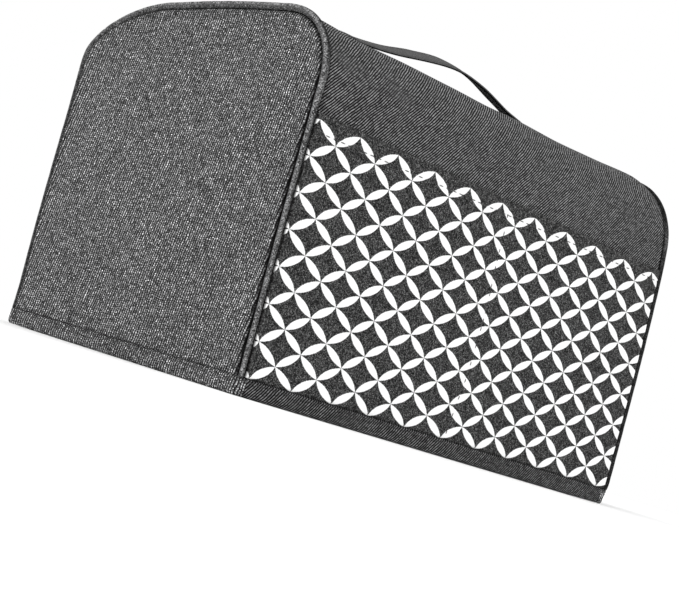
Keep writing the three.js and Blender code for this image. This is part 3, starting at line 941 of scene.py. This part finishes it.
def print_material():
    net = Net("printed_cloth")
    U, V, _ = net.split(net.attribute("cloth").outputs["Vector"])
    a, b, v = net.split(net.attribute("print").outputs["Vector"])
    seam = net.attribute("seam").outputs["Fac"]
    tone, cell, high = plain_weave(net, U, V, 0.52, 0.52, 1.6, 2.0)
    radius = (0.25 + PETAL * PETAL) / (2 * PETAL)

    def petal(p, q):
        along = net.sub(net.frac(p), 0.5)
        arc = net.math("SQRT", net.sub(radius * radius, net.mul(along, along)))
        off = net.math("ABSOLUTE", net.sub(q, net.math("ROUND", q)))
        return net.sub(net.sub(arc, radius - PETAL), off)

    inside = net.math("MAXIMUM", petal(a, b), petal(b, a))
    # The ink's edge follows the yarns a little.
    inside = net.add(inside, net.mul(net.sub(cell, 0.5), 0.010))
    ink = net.range(inside, -0.004, 0.010, 0.0, 1.0)
    ink = net.mul(ink, net.mul(net.range(v, -0.004, 0.004, 0.0, 1.0), net.range(v, 6.996, 7.004, 1.0, 0.0)))
    mottle = net.noise(U, V, 0.08, 3.0, 3.0)
    slub = net.noise(net.mul(U, 0.5), net.mul(V, 2.2), 1.0, 2.0, 3.0)
    ground = net.lerp(net.math("POWER", net.add(net.mul(tone, 0.6), net.mul(cell, 0.4)), 3.0), 0.003, 0.275)
    ground = net.mul(ground, net.lerp(slub, 0.84, 1.12))
    ground = net.mul(ground, net.lerp(mottle, 0.86, 1.08))
    # Darker in the yarns' dips, following the relief: partly the ground's own tone, partly painted shade.
    ground = net.mul(ground, net.lerp(high, 0.7, 1.1))
    white = net.lerp(net.add(net.mul(tone, 0.5), net.mul(cell, 0.5)), 0.88, 0.95)
    value = net.lerp(ink, ground, white)
    # Painted shade from the seam mask: darker at the pocket's edges by the beads and along its bottom.
    value = net.mul(value, net.sub(1.0, net.mul(seam, 0.93)))
    height = net.mul(high, net.lerp(ink, 1.0, 0.4))
    return net.finish(net.grey(value, (1.0, 1.0, 1.0)), 0.85, height, 0.00008)


def piping_material():
    net = Net("piping_cloth")
    U, V, _ = net.split(net.attribute("cloth").outputs["Vector"])
    seam = net.attribute("seam").outputs["Fac"]
    # Bias-cut: the yarns run at 45 degrees to the bead.
    P = net.mul(net.add(U, V), 0.7071)
    Q = net.mul(net.sub(V, U), 0.7071)
    tone, cell, high = plain_weave(net, P, Q, 0.60, 0.60, 2.4, 2.4)
    shade = net.add(net.mul(tone, 0.6), net.mul(cell, 0.4))
    value = net.lerp(net.math("POWER", shade, 2.0), 0.02, 0.62)
    # Darker in the yarns' dips, following the relief: partly the cloth's own tone, partly painted shade.
    value = net.mul(value, net.lerp(high, 0.4, 1.2))
    # Painted shade from the seam mask: darker towards the grooves, and on the tape.
    value = net.mul(value, net.sub(1.0, net.mul(seam, 0.95)))
    return net.finish(net.grey(value, (1.0, 1.0, 1.01)), 0.95, high, 0.00018)


def strap_material():
    net = Net("strap_cloth")
    W, R, _ = net.split(net.attribute("cloth").outputs["Vector"])
    under = net.attribute("under").outputs["Fac"]
    tone, cell, high = plain_weave(net, W, R, 0.5, 0.5, 3.0, 5.0)
    shade = net.add(net.mul(tone, 0.6), net.mul(cell, 0.4))
    value = net.lerp(shade, 0.050, 0.12)
    # Darker in the yarns' dips, following the relief: partly the webbing's own tone, partly painted shade.
    value = net.mul(value, net.lerp(high, 0.7, 1.1))
    # Painted shade: the underside is painted near black, as it is turned away from the light.
    painted_underside_shade = net.lerp(shade, 0.002, 0.007)
    value = net.lerp(net.range(under, 0.35, 0.65, 0.0, 1.0), value, painted_underside_shade)
    return net.finish(net.grey(value), 0.9, high, 0.00010)


def thread_material(name, value):
    net = Net(name)
    noise = net.node("ShaderNodeTexNoise")
    coord = net.node("ShaderNodeTexCoord")
    net.put(noise.inputs["Vector"], coord.outputs["Object"])
    net.put(noise.inputs["Scale"], 900.0)
    tone = net.lerp(noise.outputs["Fac"], value * 0.6, value * 1.4)
    return net.finish(net.grey(tone), 0.8, noise.outputs["Fac"], 0.00005)


HEATHER = heather_material()
TWILL = twill_material()
PRINT = print_material()
PIPING = piping_material()
STRAP = strap_material()
THREAD = thread_material("hem_thread", 0.05)
POCKET_THREAD = thread_material("pocket_thread", 0.06)
STRAP_THREAD = thread_material("strap_thread", 0.06)

# ---- pieces ---------------------------------------------------------------
main_panel = build_main_panel()
end_left = build_end_panel(-1, "end_panel_left_cloth")
end_right = build_end_panel(1, "end_panel_right_cloth")
piping_left = build_piping(-1, "piping_left_cord")
piping_right = build_piping(1, "piping_right_cord")
pocket = build_pocket()
strap = build_strap()
hem_thread = build_hem_stitches()
pocket_thread = build_pocket_stitches()
strap_thread = build_strap_stitches()

for piece, node, slot in (
    (main_panel, "main_panel", "twill_cloth"),
    (end_left, "end_panel_left", "heather_cloth"),
    (end_right, "end_panel_right", "heather_cloth"),
    (piping_left, "piping_left", "piping_cloth"),
    (piping_right, "piping_right", "piping_cloth"),
    (pocket, "front_pocket", "printed_cloth"),
    (strap, "handle_strap", "strap_cloth"),
):
    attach(piece, "root")
    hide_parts(node)
for piece, slot in (
    (hem_thread, "twill_cloth"),
    (pocket_thread, "printed_cloth"),
    (strap_thread, "strap_cloth"),
):
    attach(piece, "root")

# ---- stage ----------------------------------------------------------------
bpy.ops.mesh.primitive_plane_add(size=14.0, location=(0, 0, -0.0003))
floor = bpy.context.object
floor.name = "studio_floor"
pale = Net("studio_floor")
floor.data.materials.append(pale.finish((0.93, 0.93, 0.93, 1.0), 1.0, None, 0.0))

scene = bpy.context.scene
world = bpy.data.worlds.new("studio")
scene.world = world
world.use_nodes = True
sky = world.node_tree.nodes["Background"]
sky.inputs["Color"].default_value = (1.0, 1.0, 1.0, 1.0)
sky.inputs["Strength"].default_value = 1.0


def sun(name, toward, energy, angle):
    data = bpy.data.lights.new(name, "SUN")
    data.energy = energy
    data.angle = math.radians(angle)
    obj = bpy.data.objects.new(name, data)
    x, y, z = toward
    back = np.array([x, y, z]) / np.linalg.norm([x, y, z])
    side = np.cross([0, 0, 1], back)
    side /= np.linalg.norm(side)
    up = np.cross(back, side)
    obj.matrix_world = Matrix([
        [side[0], up[0], back[0], 0], [side[1], up[1], back[1], 0], [side[2], up[2], back[2], 1], [0, 0, 0, 1],
    ])
    scene.collection.objects.link(obj)
    return obj


sun("key", (-0.75, -0.35, 0.56), 1.3, 35)

scene.view_settings.view_transform = "Standard"
scene.view_settings.look = "None"
scene.view_settings.exposure = 0.0
scene.view_settings.gamma = 1.0

# The camera's roll gives the cover the tilt that it has in the picture.
RIGHT = (0.705825, -0.644697, 0.29356)
UP = (-0.260686, 0.148936, 0.953866)
FORWARD = (0.658676, 0.749789, 0.06294)
PLACE = (-0.518391 - LEFT_X / 1000, -0.63939 - DEPTH / 2000, 0.00796)
camera_data = bpy.data.cameras.new("camera")
camera = bpy.data.objects.new("camera", camera_data)
scene.collection.objects.link(camera)
camera_data.sensor_fit = "HORIZONTAL"
camera_data.sensor_width = 36.0
camera_data.lens = 36.0 * 1699.549 / 679.0
camera_data.clip_start = 0.01
camera_data.clip_end = 50.0
rows = []
for k in range(3):
    rows.append([RIGHT[k], UP[k], -FORWARD[k], PLACE[k] + SHIFT[k] / 1000])
camera.matrix_world = Matrix(rows + [[0, 0, 0, 1]])
scene.camera = camera
